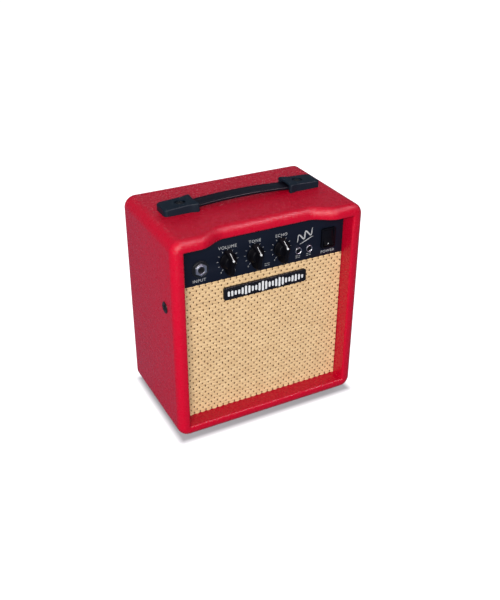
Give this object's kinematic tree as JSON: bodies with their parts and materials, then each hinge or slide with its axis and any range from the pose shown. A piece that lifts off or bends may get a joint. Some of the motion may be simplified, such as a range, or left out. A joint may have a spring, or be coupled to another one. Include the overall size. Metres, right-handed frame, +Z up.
{
  "type": "guitar amplifier",
  "caption": "Small guitar practice amplifier with a vinyl covered cabinet, woven grille cloth, set-back control panel with pointer knobs, and a strap handle.",
  "frame": {"origin": "middle of the footprint, on the surface that the feet stand on", "axes": "+X to the right seen from the front, +Y into the depth (the control panel faces -Y), +Z up"},
  "size_m": [0.1934, 0.116, 0.214],
  "materials": {
    "cabinet_wood": "raw board",
    "vinyl": "grained vinyl covering",
    "grille_cloth": "woven",
    "badge_plastic": "gloss",
    "panel_paint": "satin",
    "black_plastic": "satin",
    "rocker_plastic": "satin",
    "nickel_plate": "bright plated",
    "pot_steel": "plain",
    "shaft_metal": "machined",
    "knob_plastic": "semi-gloss",
    "board_laminate": "solder mask",
    "capacitor_sleeve": "sleeved",
    "heatsink_aluminium": "extruded",
    "rear_board": "black textured paint on board",
    "black_screws": "black oxide",
    "strap_vinyl": "moulded soft vinyl",
    "cap_plastic": "satin",
    "foot_rubber": "matt",
    "wire_sleeve": "sleeved",
    "basket_paint": "black",
    "ferrite": "ferrite",
    "plated_steel": "zinc plated",
    "cone_paper": "felted paper",
    "copper_coil": "enamelled wire",
    "surround_rubber": "moulded",
    "spider_cloth": "resin treated"
  },
  "bodies": {
    "cabinet": {"top_board": "cabinet_wood", "bottom_board": "cabinet_wood", "left_board": "cabinet_wood", "right_board": "cabinet_wood", "vinyl_covering": "vinyl", "baffle_board": "cabinet_wood", "baffle_battens": "cabinet_wood", "rear_battens": "cabinet_wood", "grille_cloth": "grille_cloth", "badge_plate": "badge_plastic", "control_panel": "panel_paint", "input_jack": "black_plastic", "input_sleeve": "nickel_plate", "input_washer": "black_plastic", "input_nut": "nickel_plate", "line_sockets": "black_plastic", "socket_rings": "nickel_plate", "volume_pot": "pot_steel", "eq_pot": "pot_steel", "delay_pot": "pot_steel", "pot_nuts": "nickel_plate", "switch_housing": "black_plastic", "circuit_board": "board_laminate", "capacitors": "capacitor_sleeve", "amplifier_chip": "black_plastic", "heatsink": "heatsink_aluminium", "rear_panel": "rear_board", "rear_screws": "black_screws", "dc_inlet": "black_plastic", "left_handle_cap": "cap_plastic", "right_handle_cap": "cap_plastic", "handle_screws": "black_screws", "side_cups": "black_screws", "side_screws": "black_screws", "feet": "foot_rubber", "internal_wires": "wire_sleeve", "left_basket": "basket_paint", "right_basket": "basket_paint", "speaker_magnets": "ferrite", "speaker_yokes": "plated_steel", "speaker_top_plates": "plated_steel", "left_surround": "surround_rubber", "right_surround": "surround_rubber", "left_spider": "spider_cloth", "right_spider": "spider_cloth", "speaker_screws": "black_screws"},
    "volume_dial": {"volume_knob": "knob_plastic", "volume_shaft": "shaft_metal"},
    "eq_dial": {"eq_knob": "knob_plastic", "eq_shaft": "shaft_metal"},
    "delay_dial": {"delay_knob": "knob_plastic", "delay_shaft": "shaft_metal"},
    "power_rocker": {"switch_rocker": "rocker_plastic"},
    "left_diaphragm": {"left_cone": "cone_paper", "left_dust_cap": "cone_paper", "left_voice_coil": "copper_coil"},
    "right_diaphragm": {"right_cone": "cone_paper", "right_dust_cap": "cone_paper", "right_voice_coil": "copper_coil"},
    "strap": {"handle_strap": "strap_vinyl"}
  },
  "joints": [
    {"name": "volume_turn", "type": "hinge", "parent": "cabinet", "child": "volume_dial", "pos_m": [-0.0364, -0.05, 0.1714], "axis": [0, 1, 0], "range_deg": [-150, 150]},
    {"name": "eq_turn", "type": "hinge", "parent": "cabinet", "child": "eq_dial", "pos_m": [-0.0095, -0.05, 0.1714], "axis": [0, 1, 0], "range_deg": [-150, 150]},
    {"name": "delay_turn", "type": "hinge", "parent": "cabinet", "child": "delay_dial", "pos_m": [0.0174, -0.05, 0.1714], "axis": [0, 1, 0], "range_deg": [-150, 150]},
    {"name": "power_rock", "type": "hinge", "parent": "cabinet", "child": "power_rocker", "pos_m": [0.067, -0.0405, 0.1714], "axis": [1, 0, 0], "range_deg": [0, 24]},
    {"name": "left_cone_travel", "type": "slide", "parent": "cabinet", "child": "left_diaphragm", "axis": [0, -1, 0], "range_m": [-0.002, 0.002], "stiffness_N_per_m": 1400, "deforming": ["left_surround", "left_spider"]},
    {"name": "right_cone_travel", "type": "slide", "parent": "cabinet", "child": "right_diaphragm", "axis": [0, -1, 0], "range_m": [-0.002, 0.002], "stiffness_N_per_m": 1400, "deforming": ["right_surround", "right_spider"]},
    {"name": "strap_lift", "type": "slide", "parent": "cabinet", "child": "strap", "axis": [0, 0, 1], "range_m": [0, 0.0012]}
  ],
  "couplings": [
    {"joint": "right_cone_travel", "follows": "left_cone_travel", "ratio": 1}
  ]
}
